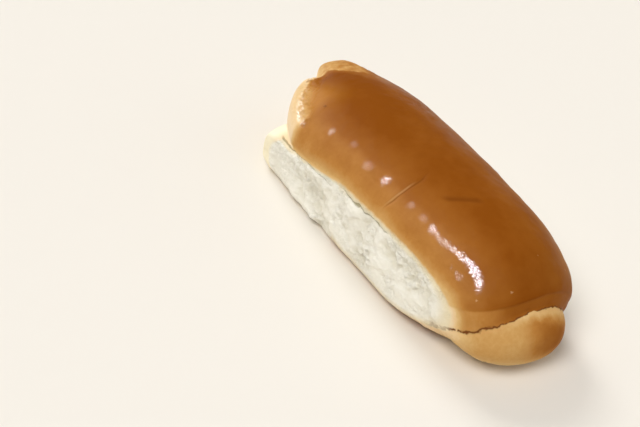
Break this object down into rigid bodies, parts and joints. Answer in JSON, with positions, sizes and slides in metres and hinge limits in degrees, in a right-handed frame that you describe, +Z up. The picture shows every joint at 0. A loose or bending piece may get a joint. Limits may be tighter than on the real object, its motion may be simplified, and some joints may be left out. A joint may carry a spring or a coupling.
{
  "type": "hot dog bun",
  "caption": "Soft pull-apart hot dog bun: glossy domed brown crust, torn white crumb along each long side, a split and a swollen foot at each end. Flat base to rest on.",
  "frame": {"origin": "centre of the flat base on the surface that the bun rests on", "axes": "+X along the length towards the end with the open split, -Y out of the torn side that shows in the picture, +Z up through the crown"},
  "size_m": [0.1542, 0.0582, 0.0443],
  "materials": {
    "crust": "egg-washed baked crust, caramel brown and glossy on top, cream at its lower edge, torn matt white crumb on the sides"
  },
  "bodies": {
    "root": {"bun": "crust"}
  },
  "joints": []
}
